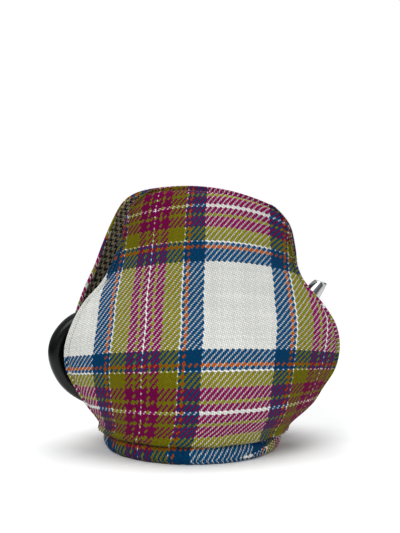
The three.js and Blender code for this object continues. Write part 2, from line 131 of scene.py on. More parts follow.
def gridFaces(rows, columns, wrapRows=False, wrapColumns=False, flip=False):
    faces = []
    for r in range(rows if wrapRows else rows - 1):
        for c in range(columns if wrapColumns else columns - 1):
            nextRow, nextColumn = (r + 1) % rows, (c + 1) % columns
            quad = [r * columns + c, r * columns + nextColumn,
                    nextRow * columns + nextColumn, nextRow * columns + c]
            faces.append(quad[::-1] if flip else quad)
    return faces


def smoothLine(values, places):
    # a smooth curve through evenly numbered values, read at places from 0 to 1
    values = np.asarray(values, float)
    at = np.clip(places, 0, 1) * (len(values) - 1)
    low = np.minimum(at.astype(int), len(values) - 2)
    t = (at - low).reshape(at.shape + (1,) * (values.ndim - 1))
    before, first = values[np.maximum(low - 1, 0)], values[low]
    second, after = values[low + 1], values[np.minimum(low + 2, len(values) - 1)]
    startSlope, endSlope = (second - before) / 2, (after - first) / 2
    return ((2 * first - 2 * second + startSlope + endSlope) * t ** 3
            + (-3 * first + 3 * second - 2 * startSlope - endSlope) * t ** 2 + startSlope * t + first)


def ripple(places, seed, wavelengths, count=5):
    # an uneven wave from -1 to 1 along a line in metres
    draw = np.random.default_rng(seed)
    total = np.zeros_like(places)
    for _ in range(count):
        wavelength = draw.uniform(*wavelengths)
        total += draw.uniform(0.5, 1) * np.sin(2 * pi * places / wavelength + draw.uniform(0, 2 * pi))
    return total / count * 1.6


# ---------- camera, floor and light

cameraSetup = {
    "azimuth": -8.0,          # degrees to the left of straight ahead
    "rise": 0.084,            # how far the camera stands above its target
    "distance": 1.0,
    "target": (0.004, 0.0, 0.158),
    "spanAtTarget": 0.46904,  # height of the view there
}


def makeCamera(setup):
    camera = bpy.data.cameras.new("studioCamera")
    camera.sensor_width = 36
    camera.lens = 36 * setup["distance"] / setup["spanAtTarget"]
    camera.clip_start = 0.05
    stand = bpy.data.objects.new("studioCamera", camera)
    scene.collection.objects.link(stand)
    tilt = asin(setup["rise"] / setup["distance"])
    turn = radians(setup["azimuth"])
    away = Vector((sin(turn) * cos(tilt), -cos(turn) * cos(tilt), sin(tilt)))
    stand.location = Vector(setup["target"]) + away * setup["distance"]
    stand.rotation_euler = away.to_track_quat("Z", "Y").to_euler()
    scene.camera = stand


def makeFloor():
    material, add, shader = startMaterial("paleStudioPaper", {"Roughness": 0.9})
    grain = add("TexNoise", {"Scale": 60.0, "Detail": 4.0})
    tint = add("ValToRGB", {"Fac": grain})
    setStops(tint, [(0.3, "#f8f8f7"), (0.7, "#fcfcfb")])
    # the paper fades into the white surround away from the pot, so no horizon shows
    place = add("TexCoord").outputs["Object"]
    away = add("VectorMath", "LENGTH", {0: place})
    fade = add("MapRange", "SMOOTHSTEP",
               {"Value": away.outputs["Value"], "From": (0.2, 0.85), "To": (1.0, 0.0)})
    setInputs(shader, {"Base Color": tint, "Alpha": fade})
    mesh = bpy.data.meshes.new("studioFloor")
    reach = 1.2
    mesh.from_pydata([(-reach, -reach, 0), (reach, -reach, 0), (reach, reach, 0), (-reach, reach, 0)],
                     [], [(0, 1, 2, 3)])
    mesh.materials.append(material)
    floor = bpy.data.objects.new("studioFloor", mesh)
    scene.collection.objects.link(floor)


lightSetup = {
    "keyLeft": {"place": (-0.9, -1.3, 1.4), "size": 1.4, "watts": 18},
    "fillRight": {"place": (1.3, -1.1, 0.8), "size": 1.2, "watts": 6.5},
    "overhead": {"place": (0.1, 0.3, 2.0), "size": 2.2, "watts": 35},
    # the studio as the steel sees it, from the floor up over the walls to the ceiling
    "surround": [(0.3, "#2c2d30"), (0.5, "#5e6164"), (0.62, "#85888b"), (0.85, "#a0a3a6")],
    "backdrop": "#ffffff",
    "aim": (0, 0, 0.1),
}


def makeLights(setup):
    for name, facts in setup.items():
        if not isinstance(facts, dict):
            continue
        lamp = bpy.data.lights.new(name, "AREA")
        lamp.shape = "DISK"
        lamp.size = facts["size"]
        lamp.energy = facts["watts"]
        stand = bpy.data.objects.new(name, lamp)
        scene.collection.objects.link(stand)
        stand.location = facts["place"]
        aim = Vector(facts["place"]) - Vector(setup["aim"])
        stand.rotation_euler = aim.to_track_quat("Z", "Y").to_euler()
    world = bpy.data.worlds.new("softStudio")
    world.use_nodes = True
    tree = world.node_tree
    add = partial(addNode, tree)
    walls = tree.nodes["Background"]
    direction = add("TexCoord").outputs["Generated"]
    parts = add("SeparateXYZ", {0: direction})
    climb = add("MapRange", {"Value": parts.outputs[2], "From Min": -1.0})
    surround = add("ValToRGB", {"Fac": climb})
    setStops(surround, setup["surround"])
    tree.links.new(surround.outputs[0], walls.inputs["Color"])
    backdrop = add("Background", {"Color": linearColour(setup["backdrop"]), "Strength": 1.0})
    seen = add("LightPath")
    shown = add("MixShader", {0: seen.outputs["Is Camera Ray"], 1: walls, 2: backdrop})
    tree.links.new(shown.outputs[0], tree.nodes["World Output"].inputs["Surface"])
    scene.world = world
    scene.view_settings.view_transform = "Standard"


makeCamera(cameraSetup)
makeFloor()
makeLights(lightSetup)
print("teapot and cosy: camera, floor and lights")


# ---------- cloth materials

tartan = {
    # half of each repeat, from the middle of the white block to the white line: colour and threads
    "ends": [("white", 25), ("blue", 11), ("orange", 2), ("blue", 2.2), ("white", 1.1), ("olive", 12.2),
             ("magenta", 6), ("olive", 2.5), ("magenta", 3.7), ("white", 0.8)],
    "picks": [("white", 25.5), ("blue", 8), ("orange", 2), ("blue", 2.3), ("white", 1.5), ("olive", 8.2),
              ("magenta", 7), ("olive", 2), ("magenta", 4.7), ("white", 1.0)],
    "colours": {"white": "#ebebe5", "blue": "#004d7e", "orange": "#c05a14", "olive": "#8f8810",
                "magenta": "#900656"},
    "fullness": 0.63,         # the dyed yarns are fuller than the undyed white
    "depth": 0.6,             # painted shade where both yarns are dyed: dyed over dyed swallows light that undyed yarn would throw back
    "bounceTint": 0.2,              # painted bounce light and shade: how much an undyed yarn on top is tinted and dimmed toward the colour of the yarn below it
    "wander": 0.6,            # how far the yarns stray from straight, in yarn widths
    "dyeing": {"ends": 17.0, "picks": 431.0},   # seeds of the uneven dyeing
}
# how far a yarn spreads over its neighbours where it floats, and how high the float arches, in yarn widths
twill = {"spread": 0.3, "arch": 0.45, "roundness": 0.5}


def setStripes(ramp, stripes, colours):
    # the colour of each stripe; its alpha marks the dyed yarns
    total = sum(threads for _, threads in stripes)
    stops, place = [], 0
    for colour, threads in stripes:
        stops.append((place / total, colours[colour]))
        place += threads
    setStops(ramp, stops, "CONSTANT")
    for element, (colour, _) in zip(ramp.color_ramp.elements, stripes):
        element.color[3] = 0.0 if colour == "white" else 1.0


def twillHeights(add, place):
    # the height of each yarn in a 2/2 twill: where it lies in its float, and its round section
    yarns = {}
    for name, along, across, shift in (("end", 1, 0, 0.0), ("pick", 0, 1, 3.0)):
        # a yarn spreads over its neighbours where it floats, and is pinched where it dives under
        slant = add("Math", "SUBTRACT", {0: place.outputs[along], 1: place.outputs[across]})
        phase = add("Math", "MULTIPLY_ADD", {0: slant, 1: pi / 2, 2: (1.5 - shift) * pi / 2})
        spread = add("Math", "COSINE", {0: phase})
        swayed = add("Math", "MULTIPLY_ADD", {0: spread, 1: -twill["spread"], 2: place.outputs[across]})
        number = add("Math", "FLOOR", {0: swayed})
        offset = add("Math", "SUBTRACT", {0: place.outputs[along], 1: number})
        shifted = add("Math", "SUBTRACT", {0: offset, 1: shift})
        angle = add("Math", "MULTIPLY", {0: shifted, 1: pi / 2})
        wave = add("Math", "COSINE", {0: angle})
        part = add("Math", "FRACT", {0: swayed})
        side = add("Math", "MULTIPLY_ADD", {0: part, 1: 2.0, 2: -1.0})
        square = add("Math", "MULTIPLY", {0: side, 1: side})
        drop = add("Math", "MULTIPLY_ADD", {0: square, 1: -twill["roundness"], 2: twill["roundness"]})
        height = add("Math", "MULTIPLY_ADD", {0: wave, 1: twill["arch"], 2: drop})
        yarns[name] = {"number": number, "height": height}
    return yarns


def stripeColour(add, yarn, facts, key):
    # the colour of a yarn by its number, and whether it is dyed
    number, stripes = yarn["number"], facts[key]
    total = sum(threads for _, threads in stripes)
    middle = add("Math", "ADD", {0: number, 1: 0.5})
    fold = add("Math", "PINGPONG", {0: middle, 1: float(total)})
    share = add("Math", "DIVIDE", {0: fold, 1: float(total)})
    ramp = add("ValToRGB", {"Fac": share})
    setStripes(ramp, stripes, facts["colours"])
    seeded = add("Math", "ADD", {0: number, 1: facts["dyeing"][key]})
    dye = add("TexWhiteNoise", "1D", {"W": seeded})
    value = add("MapRange", {"Value": dye, "To": (0.9, 1.1)})
    return add("HueSaturation", {"Value": value, "Color": ramp}), ramp.outputs["Alpha"]


def makeTartan(name, facts):
    # heavy woollen tweed, 2/2 twill: matt, hairy yarns in steep diagonal ribs, with painted shade in the gaps
    # between them
    material, add, shader = startMaterial(name, {
        "Roughness": 0.95, "Specular IOR Level": 0.06, "Sheen Weight": 0.02, "Sheen Roughness": 0.5})
    cloth = add("UVMap", "cloth")
    # hand-spun unevenness: yarns wander by about a third of their width
    wander = add("TexNoise", "2D", {"Vector": cloth, "Scale": 0.45, "Detail": 2.0})
    centred = add("VectorMath", "SUBTRACT", {0: wander.outputs["Color"], 1: (0.5, 0.5, 0.5)})
    stray = add("VectorMath", "SCALE", {0: centred, "Scale": facts["wander"]})
    strayed = add("VectorMath", "ADD", {0: cloth, 1: stray})
    place = add("SeparateXYZ", {0: strayed})
    yarns = twillHeights(add, place)
    ends, endDyed = stripeColour(add, yarns["end"], facts, "ends")
    picks, pickDyed = stripeColour(add, yarns["pick"], facts, "picks")
    endHeight, pickHeight = yarns["end"]["height"], yarns["pick"]["height"]
    endTop = add("Math", "MULTIPLY_ADD", {0: endDyed, 1: facts["fullness"], 2: endHeight})
    pickTop = add("Math", "MULTIPLY_ADD", {0: pickDyed, 1: facts["fullness"], 2: pickHeight})
    endOnTop = add("Math", "GREATER_THAN", {0: endTop, 1: pickTop})
    top = add("Mix", "FLOAT", {"Factor": endOnTop, 2: pickHeight, 3: endHeight})
    upper = add("Mix", "RGBA", {"Factor": endOnTop, 6: picks, 7: ends})
    lower = add("Mix", "RGBA", {"Factor": endOnTop, 6: ends, 7: picks})
    upperDyed = add("Mix", "FLOAT", {"Factor": endOnTop, 2: pickDyed, 3: endDyed})
    # painted bounce light and shade: an undyed yarn on top is mixed toward the colour of the yarn below it
    bounceTint = add("MapRange", {"Value": upperDyed.outputs[0], "To": (facts["bounceTint"], 0.0)})
    woven = add("Mix", "RGBA", {"Factor": bounceTint, 6: upper.outputs[2], 7: lower.outputs[2]})
    # painted shade: where both crossing yarns are dyed the colour is darkened to the depth share
    bothDyed = add("Math", "MULTIPLY", {0: endDyed, 1: pickDyed})
    deep = add("MapRange", {"Value": bothDyed, "To": (1.0, facts["depth"])})
    # stray fibres: lighter and darker flecks about a third of a yarn wide
    fibres = add("TexNoise", "2D", {"Vector": cloth, "Scale": 2.6, "Detail": 3.0, "Roughness": 0.7})
    flecks = add("MapRange", {"Value": fibres, "From": (0.25, 0.75), "To": (0.76, 1.18)})
    # painted shade: the colour darkens where the top yarn lies low, in the gaps between the yarns
    gapShade = add("MapRange", {"Value": top, "From": (0.25, 0.95), "To": (0.45, 1.04)})
    # the fibre flecks together with the painted gap shade
    flecksAndGapShade = add("Math", "MULTIPLY", {0: flecks, 1: gapShade})
    # the fibre flecks with the painted gap shade and the painted shade of dyed over dyed
    flecksWithPaintedShade = add("Math", "MULTIPLY", {0: flecksAndGapShade, 1: deep})
    handled = add("TexNoise", "2D", {"Vector": cloth, "Scale": 0.035, "Detail": 2.0})
    wear = add("MapRange", {"Value": handled, "To": (0.93, 1.05)})
    shade = add("Math", "MULTIPLY", {0: flecksWithPaintedShade, 1: wear})
    coloured = add("HueSaturation", {"Value": shade, "Color": woven.outputs[2]})
    relief = add("Math", "MULTIPLY_ADD", {0: fibres, 1: 0.25, 2: top})
    bump = add("Bump", {"Strength": 0.75, "Distance": 0.5 * mm, "Height": relief})
    setInputs(shader, {"Base Color": coloured, "Normal": bump})
    return material


puppytooth = {"dark": "#12100e", "light": "#aa9d80", "threadPitch": 0.6 * mm, "block": 4}


def makePuppytooth(name, facts):
    # fine worsted puppytooth, four dark and four pale threads each way: small toothed checks, matt
    material, add, shader = startMaterial(name, {
        "Roughness": 0.9, "Specular IOR Level": 0.25, "Sheen Weight": 0.15, "Sheen Roughness": 0.5})
    cloth = add("UVMap", "cloth")
    place = add("SeparateXYZ", {0: cloth})
    yarns = twillHeights(add, place)
    heights = {0: yarns["end"]["height"], 1: yarns["pick"]["height"]}
    endOnTop = add("Math", "GREATER_THAN", heights)
    top = add("Math", "MAXIMUM", heights)
    tones = []
    for yarn in ("pick", "end"):
        turn = add("Math", "FLOORED_MODULO", {0: yarns[yarn]["number"], 1: 2.0 * facts["block"]})
        tones.append(add("Math", "LESS_THAN", {0: turn, 1: facts["block"] - 0.5}))
    isDark = add("Mix", "FLOAT", {"Factor": endOnTop, 2: tones[0], 3: tones[1]})
    light, dark = linearColour(facts["light"]), linearColour(facts["dark"])
    check = add("Mix", "RGBA", {"Factor": isDark.outputs[0], 6: light, 7: dark})
    fibres = add("TexNoise", "2D", {"Vector": cloth, "Scale": 1.7, "Detail": 3.0})
    flecks = add("MapRange", {"Value": fibres, "To": (0.72, 1.2)})
    # painted shade: the colour darkens where the top yarn lies low, in the gaps between the yarns
    gapShade = add("MapRange", {"Value": top, "From": (0.2, 0.9), "To": (0.6, 1.0)})
    shade = add("Math", "MULTIPLY", {0: flecks, 1: gapShade})
    coloured = add("HueSaturation", {"Value": shade, "Color": check.outputs[2]})
    bump = add("Bump", {"Strength": 0.6, "Distance": 0.3 * mm, "Height": top})
    setInputs(shader, {"Base Color": coloured, "Normal": bump})
    return material


def makeWadding():
    # bonded polyester wadding: off-white, cloudy, with long loose fibres
    material, add, shader = startMaterial("polyesterWadding", {
        "Roughness": 1.0, "Specular IOR Level": 0.1, "Sheen Weight": 0.5})
    place = add("TexCoord").outputs["Object"]
    cloud = add("TexNoise", {"Vector": place, "Scale": 900.0, "Detail": 6.0, "Distortion": 2.0})
    tint = add("ValToRGB", {"Fac": cloud})
    setStops(tint, [(0.3, "#d8d4ca"), (0.7, "#f4f2ec")])
    bump = add("Bump", {"Strength": 0.8, "Distance": 0.6 * mm, "Height": cloud})
    setInputs(shader, {"Base Color": tint, "Normal": bump})
    return material


def makeTape(name, colours, pitch):
    # narrow woven tape or braid: fine herringbone ribs across its width
    material, add, shader = startMaterial(name, {
        "Roughness": 0.85, "Specular IOR Level": 0.3, "Sheen Weight": 0.2})
    place = add("TexCoord").outputs["Object"]
    ribs = add("TexWave", "DIAGONAL",
               {"Vector": place, "Scale": 0.314 / pitch, "Distortion": 1.5, "Detail": 2.0})
    tint = add("ValToRGB", {"Fac": ribs})
    setStops(tint, [(0.15, colours[0]), (0.85, colours[1])])
    bump = add("Bump", {"Strength": 0.6, "Distance": 0.25 * mm, "Height": ribs})
    setInputs(shader, {"Base Color": tint, "Normal": bump})
    return material


# ---------- teapot materials

def makePolishedSteel():
    # 18/8 stainless steel, mirror buffed: bright reflections with faint buffing haze and hairline scratches
    material, add, shader = startMaterial("buffedStainlessSteel", {
        "Metallic": 1.0, "Base Color": linearColour("#cfd0d0")})
    place = add("TexCoord").outputs["Object"]
    haze = add("TexNoise", {"Vector": place, "Scale": 70.0, "Detail": 4.0})
    gloss = add("MapRange", {"Value": haze, "From": (0.3, 0.7), "To": (0.07, 0.17)})
    stretch = add("Mapping", {"Vector": place, "Scale": (2500.0, 2500.0, 160.0)})
    scratches = add("TexNoise", {"Vector": stretch, "Scale": 1.0, "Detail": 2.0})
    bump = add("Bump", {"Strength": 0.05, "Distance": 0.05 * mm, "Height": scratches})
    setInputs(shader, {"Roughness": gloss, "Normal": bump})
    return material


def makeBrushedSteel():
    # spun stainless steel, satin-brushed on the lathe: fine rings about 0.3 mm apart that spread the highlights
    material, add, shader = startMaterial("spunStainlessSteel", {
        "Metallic": 1.0, "Base Color": linearColour("#bfc0c0"), "Anisotropic": 0.5})
    place = add("TexCoord").outputs["Object"]
    parts = add("SeparateXYZ", {0: place})
    level = add("VectorMath", "MULTIPLY", {0: place, 1: (1.0, 1.0, 0.0)})
    radius = add("VectorMath", "LENGTH", {0: level})
    turnAngle = add("Math", "ARCTAN2", {0: parts.outputs[1], 1: parts.outputs[0]})
    rings = add("CombineXYZ", {0: radius.outputs["Value"], 1: parts.outputs[2]})
    ringScale = add("VectorMath", "SCALE", {0: rings, "Scale": 3200.0})
    slow = add("Math", "MULTIPLY", {0: turnAngle, 1: 2.5})
    lift = add("CombineXYZ", {2: slow})
    line = add("VectorMath", "ADD", {0: ringScale, 1: lift})
    brushing = add("TexNoise", {"Vector": line, "Scale": 1.0, "Detail": 3.0, "Roughness": 0.6})
    gloss = add("MapRange", {"Value": brushing, "From": (0.3, 0.7), "To": (0.22, 0.4)})
    bump = add("Bump", {"Strength": 0.18, "Distance": 0.06 * mm, "Height": brushing})
    setInputs(shader, {"Roughness": gloss, "Normal": bump})
    return material


def makeHandlePlastic():
    # black phenolic, compression moulded and tumbled: deep gloss, faint orange peel, duller where hands rub it
    material, add, shader = startMaterial("mouldedPhenolic", {"IOR": 1.5, "Specular IOR Level": 0.3})
    place = add("TexCoord").outputs["Object"]
    swirl = add("TexNoise", {"Vector": place, "Scale": 130.0, "Detail": 5.0, "Distortion": 0.8})
    tint = add("ValToRGB", {"Fac": swirl})
    setStops(tint, [(0.3, "#050606"), (0.75, "#0c0d0d")])
    rubbed = add("TexNoise", {"Vector": place, "Scale": 38.0, "Detail": 3.0})
    gloss = add("MapRange", {"Value": rubbed, "From": (0.3, 0.7), "To": (0.16, 0.32)})
    peel = add("TexNoise", {"Vector": place, "Scale": 900.0, "Detail": 2.0})
    bump = add("Bump", {"Strength": 0.12, "Distance": 0.08 * mm, "Height": peel})
    setInputs(shader, {"Base Color": tint, "Roughness": gloss, "Normal": bump})
    return material


tartanTweed = makeTartan("tartanTweed", tartan)
puppytoothWorsted = makePuppytooth("puppytoothWorsted", puppytooth)
polyesterWadding = makeWadding()
seamTape = makeTape("herringboneTape", ("#2f0d22", "#571339"), 0.9 * mm)
braidedElastic = makeTape("braidedElastic", ("#b9b4a8", "#efebe2"), 0.7 * mm)
stitchCotton = makeTape("corespunThread", ("#4f4d40", "#77766a"), 0.35 * mm)
polishedSteel = makePolishedSteel()
brushedSteel = makeBrushedSteel()
handlePlastic = makeHandlePlastic()
print("teapot and cosy: materials")


# ---------- the pot

pot = {
    # outer radius and height of the body, in millimetres
    "outline": [(56, 3.9), (65, 15), (72.5, 29), (74.5, 43.5), (71, 61), (61, 80), (46, 98), (34, 108.5),
                (31.5, 113.5)],
    "wall": 1.2, "segments": 128, "sideSteps": 72,
    "rimTop": 117.1, "rimBead": 1.7, "mouthRadius": 31.5,
}
lidShape = {"base": 117.5, "radius": 30.5, "rise": 8, "sheet": 1.2, "hole": 2.0, "skirtRadius": 26.8}


def turnedPiece(name, outline, body, material, replaced, segments=96, closed=False):
    # a turned piece about +Z from [radius, height] points in millimetres; open outlines end on the axis
    outline = np.array(outline, float) * mm
    angles = np.arange(segments) * 2 * pi / segments
    rings, points, faces = [], [], []
    for radius, height in outline:
        if radius < 1e-7:
            rings.append([len(points)])
            points.append((0, 0, height))
        else:
            rings.append(list(range(len(points), len(points) + segments)))
            points += [(radius * cos(a), radius * sin(a), height) for a in angles]
    pairs = list(zip(rings, rings[1:] + rings[:1])) if closed else list(zip(rings, rings[1:]))
    for lower, upper in pairs:
        for i in range(segments):
            j = (i + 1) % segments
            if len(lower) == 1:
                faces.append((lower[0], upper[j], upper[i]))
            elif len(upper) == 1:
                faces.append((lower[i], lower[j], upper[0]))
            else:
                faces.append((lower[i], lower[j], upper[j], upper[i]))
    return makePiece(name, points, faces, body, material, replaced)


def roundedOutline(corners, radius, steps=4, closed=False):
    # the corners of an outline in millimetres, each turned into a small arc
    corners = [np.array(c, float) for c in corners]
    count = len(corners)
    outline = []
    for i, corner in enumerate(corners):
        if not closed and i in (0, count - 1):
            outline.append(corner)
            continue
        before, after = corners[i - 1] - corner, corners[(i + 1) % count] - corner
        reach = min(radius, 0.45 * np.linalg.norm(before), 0.45 * np.linalg.norm(after))
        start = corner + before / np.linalg.norm(before) * reach
        end = corner + after / np.linalg.norm(after) * reach
        for k in range(steps + 1):
            t = k / steps
            outline.append((1 - t) ** 2 * start + 2 * t * (1 - t) * corner + t ** 2 * end)
    return outline


def bodySide(inset=0.0, steps=None):
    places = np.linspace(0, 1, (steps or pot["sideSteps"]) + 1)
    side = smoothLine(pot["outline"], places)
    along = np.gradient(side, axis=0)
    along /= np.linalg.norm(along, axis=1)[:, None]
    return side + inset * np.stack([-along[:, 1], along[:, 0]], axis=1)


def makePotBody():
    outside, inside = bodySide(), bodySide(pot["wall"])[::-1]
    floorHeight = pot["outline"][0][1] + pot["wall"]
    inside[0] = (pot["mouthRadius"] - pot["wall"], outside[-1][1])
    inside[-1] = (pot["outline"][0][0] - pot["wall"], floorHeight)
    outline = [(0, pot["outline"][0][1]), *outside, *inside, (0, floorHeight)]
    turnedPiece("spunBody", outline, "teapot", brushedSteel, ("pot_body",), pot["segments"])


def makeBaseAndRim():
    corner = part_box("base_disc")[1]
    radius, top = corner.x / mm, corner.z / mm
    disc = roundedOutline([(0, 0.35), (radius - 6, 0.35), (radius - 7, 0), (radius - 1, 0), (radius, 0.9),
                           (radius, top - 0.7), (radius - 0.9, top), (0, top)], 0.5)
    disc[0] = (0, 0.35)
    turnedPiece("pressedBase", disc, "teapot", brushedSteel, ("base_disc",))
    bead, around = pot["rimBead"], np.linspace(0, 2 * pi, 17)[:-1]
    rim = [(pot["mouthRadius"] - 0.2 + bead * cos(a), pot["rimTop"] - bead + bead * sin(a)) for a in around]
    turnedPiece("rolledRim", rim, "teapot", polishedSteel, ("mouth_rim",), closed=True)


def makeLid(facts):
    base, rise, edge, sheet = facts["base"], facts["rise"], facts["radius"], facts["sheet"]
    brim, quarter = base + sheet, np.linspace(0, pi / 2, 26)
    dome = [((edge - 2) * cos(a), brim + rise * sin(a)) for a in quarter]
    under = [((edge - 3.2) * cos(a), brim + (rise - sheet) * sin(a)) for a in quarter[::-1]]
    hole, seat = facts["hole"], brim + rise
    dome = [p for p in dome if p[0] > hole] + [(hole, seat)]
    under = [(hole, seat - sheet)] + [p for p in under if p[0] > hole]
    flange = roundedOutline([(edge - 3.2, base + 0.8), (edge - 3.2, base), (edge, base), (edge, brim),
                             (edge - 1.9, brim)], 0.5)
    turnedPiece("lidDome", under + flange + dome, "lid", polishedSteel, ("lid_shell",),
                closed=True)
    low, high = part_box("lid_skirt")
    skirt, lip, bottom, top = facts["skirtRadius"], high.x / mm, low.z / mm, high.z / mm
    ring = roundedOutline([(skirt - sheet, bottom), (skirt, bottom), (skirt, top - sheet), (lip, top - sheet),
                           (lip, top), (skirt - sheet, top)], 0.5, closed=True)
    turnedPiece("lidSkirt", ring, "lid", brushedSteel, ("lid_skirt",), closed=True)


knobShape = {
    # radius and height above the washer, in millimetres
    "foot": [(0, 0.7), (2.2, 0.7), (2.2, 0), (5.6, 0)],
    "side": [(5.5, 0.8), (5.15, 2.4), (5.5, 4.0), (7.2, 6.2), (9.5, 8.3), (10.4, 10.6), (10.35, 12.6),
             (9.2, 14.8), (7.2, 16.1), (4.6, 16.8)],
}


def makeKnob(facts):
    low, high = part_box("lid_knob")
    base, tall = low.z / mm, (high.z - low.z) / mm
    curved = [tuple(p) for p in smoothLine(facts["side"], np.linspace(0, 1, 48))]
    outline = [*facts["foot"], *curved, (2.2, tall - 0.05), (0, tall)]
    outline = [(r, base + h) for r, h in outline]
    turnedPiece("lidKnob", outline, "lid", handlePlastic, ("lid_knob",), 64)
    low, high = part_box("knob_washer")
    outer, bottom, top = high.x / mm, low.z / mm, high.z / mm
    ring = roundedOutline([(2.3, bottom), (outer, bottom), (outer, top), (2.3, top)], 0.35, closed=True)
    turnedPiece("knobWasher", ring, "lid", polishedSteel, ("knob_washer",), 48, closed=True)


# ---------- spout and handle

spoutShape = {
    "path": [(58, 66), (74, 82), (87, 102), (99.3, 124), (113, 143)],
    "radii": [17, 12.5, 9.9, 8.6, 6.4],
    "wall": 0.9, "lipLift": 2.0, "sides": 48, "steps": 44, "rootShare": 0.16,
    "flare": 0.16,            # how far the root spreads to its weld, as a share of its radius
}


def hitBody(start, direction):
    # how far back along the direction the line from start meets the pot's body
    side = bodySide(-0.15, 200) * mm
    distances = np.linspace(0, 0.05, 400)
    points = start[None, :] - distances[:, None] * direction[None, :]
    radius = np.hypot(points[:, 0], points[:, 1])
    surface = np.interp(points[:, 2], side[:, 1], side[:, 0])
    inside = np.nonzero(radius < surface)[0]
    return distances[inside[0]] if len(inside) else 0.0


def spoutRing(share, inset, facts):
    path = np.array([(x, 0, z) for x, z in facts["path"]], float)
    centre = smoothLine(path, np.array([share]))[0]
    ahead, behind = smoothLine(path, np.array([min(share + 0.004, 1), share - 0.004]))
    along = ahead - behind
    along /= np.linalg.norm(along)
    radius = np.interp(share * (len(facts["radii"]) - 1), range(len(facts["radii"])), facts["radii"]) - inset
    angles = np.arange(facts["sides"]) * 2 * pi / facts["sides"]
    outward, sideways = np.array([along[2], 0, -along[0]]), np.array([0, 1.0, 0])
    ring = centre + radius * (np.cos(angles)[:, None] * outward + np.sin(angles)[:, None] * sideways)
    nearLip = max(0.0, (share - 0.8) / 0.2)
    ring[:, 2] += facts["lipLift"] * nearLip ** 2 * np.cos(angles) * radius / facts["radii"][-1]
    return ring * mm, along


def makeSpout(facts):
    shares = np.linspace(facts["rootShare"], 1, facts["steps"])
    outer = [spoutRing(s, 0, facts)[0] for s in shares]
    first, along = spoutRing(facts["rootShare"], 0, facts)
    middle = first.mean(axis=0)
    root = []
    for point in first:
        spread = point + facts["flare"] * (point - middle)
        root.append(spread - hitBody(spread, along) * along)
    root = np.array(root)
    waist = 0.62 * first + 0.38 * root + 0.06 * (middle - first)
    inner = [spoutRing(s, facts["wall"], facts)[0] for s in shares[::-1]]
    innerRoot = root + 0.09 * (root.mean(axis=0) - root)
    tip = outer[-1]
    lipTop = 0.5 * (tip + inner[0]) + 0.35 * mm * along
    beadOut = tip + 0.045 * (tip - tip.mean(axis=0)) - 0.25 * mm * along
    rings = [root, waist] + outer[:-1] + [beadOut, lipTop] + inner + [innerRoot]
    points = np.concatenate(rings)
    faces = gridFaces(len(rings), facts["sides"], wrapRows=True, wrapColumns=True, flip=True)
    makePiece("curvedSpout", points, faces, "teapot", polishedSteel, ("spout",))


gripShape = {
    "path": [(-60, 106), (-76, 113), (-92, 115.5), (-108, 109), (-119.5, 95), (-121.5, 79), (-114, 61),
             (-100, 48.5), (-86, 43.5)],
    "depth": 7.6, "width": 9.0, "sides": 40, "steps": 90,
    "squareness": 2.35,       # 2 is an ellipse, more is boxier
    "flash": 0.12,            # height of the mould line
    "endRound": 2.2,          # how far from each end the corners are rounded
}


def makeGrip(facts):
    path = np.array([(x, 0, z) for x, z in facts["path"]], float)
    shares = np.linspace(0, 1, facts["steps"])
    centres = smoothLine(path, shares)
    along = np.gradient(centres, axis=0)
    along /= np.linalg.norm(along, axis=1)[:, None]
    angles = np.arange(facts["sides"]) * 2 * pi / facts["sides"]
    power = 2 / facts["squareness"]
    depthWave = np.sign(np.cos(angles)) * np.abs(np.cos(angles)) ** power
    widthWave = np.sign(np.sin(angles)) * np.abs(np.sin(angles)) ** power
    rings, endRound = [], facts["endRound"]
    length = np.concatenate([[0], np.cumsum(np.linalg.norm(np.diff(centres, axis=0), axis=1))])
    for i, share in enumerate(shares):
        swell = 0.82 + 0.18 * sin(pi * share)
        fromEnd = min(length[i], length[-1] - length[i])
        close = min(1.0, 0.72 + 0.28 * (fromEnd / endRound) ** 0.5) if fromEnd < endRound else 1.0
        outward = np.array([along[i][2], 0, -along[i][0]])
        seam = 1 + facts["flash"] / facts["width"] * np.exp(-(np.cos(angles) / 0.05) ** 2)
        deep, wide = facts["depth"] * depthWave[:, None], facts["width"] * (widthWave * seam)[:, None]
        rings.append(centres[i] + close * swell * (deep * outward + wide * np.array([0, 1.0, 0])))
    ends = [centres[k] + 0.6 * (rings[k] - centres[k]) for k in (0, -1)]
    rings = [ends[0]] + rings + [ends[1]]
    points = list(np.concatenate(rings) * mm)
    sides, count = facts["sides"], len(rings)
    faces = gridFaces(count, sides, wrapColumns=True)
    for ringStart, centre, flip in ((0, centres[0], False), ((count - 1) * sides, centres[-1], True)):
        points.append(tuple(centre * mm))
        for i in range(sides):
            a, b = ringStart + (i + 1) % sides, ringStart + i
            faces.append((b, a, len(points) - 1) if flip else (a, b, len(points) - 1))
    makePiece("mouldedGrip", points, faces, "teapot", handlePlastic, ("handle_grip",))


def dressFrameParts():
    # small pressed and turned parts keep their own solids, with eased edges
    brushed = ["strainer_plate", "handle_upper_bracket", "handle_lower_bracket", "hinge_bracket", "hinge_leaf",
               "knob_screw"]
    polished = ["handle_upper_screw", "handle_lower_screw", "hinge_pin"]
    for name in brushed + polished:
        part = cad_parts[name]
        part.data.materials.clear()
        part.data.materials.append(brushedSteel if name in brushed else polishedSteel)
        if name != "strainer_plate":
            addModifier(part, "BEVEL", width=0.25 * mm, segments=2, limit_method="ANGLE",
                        angle_limit=radians(35))


makePotBody()
makeBaseAndRim()
makeLid(lidShape)
makeKnob(knobShape)
makeSpout(spoutShape)
makeGrip(gripShape)
dressFrameParts()
print("teapot and cosy: teapot made")


# ---------- the cosy's panels

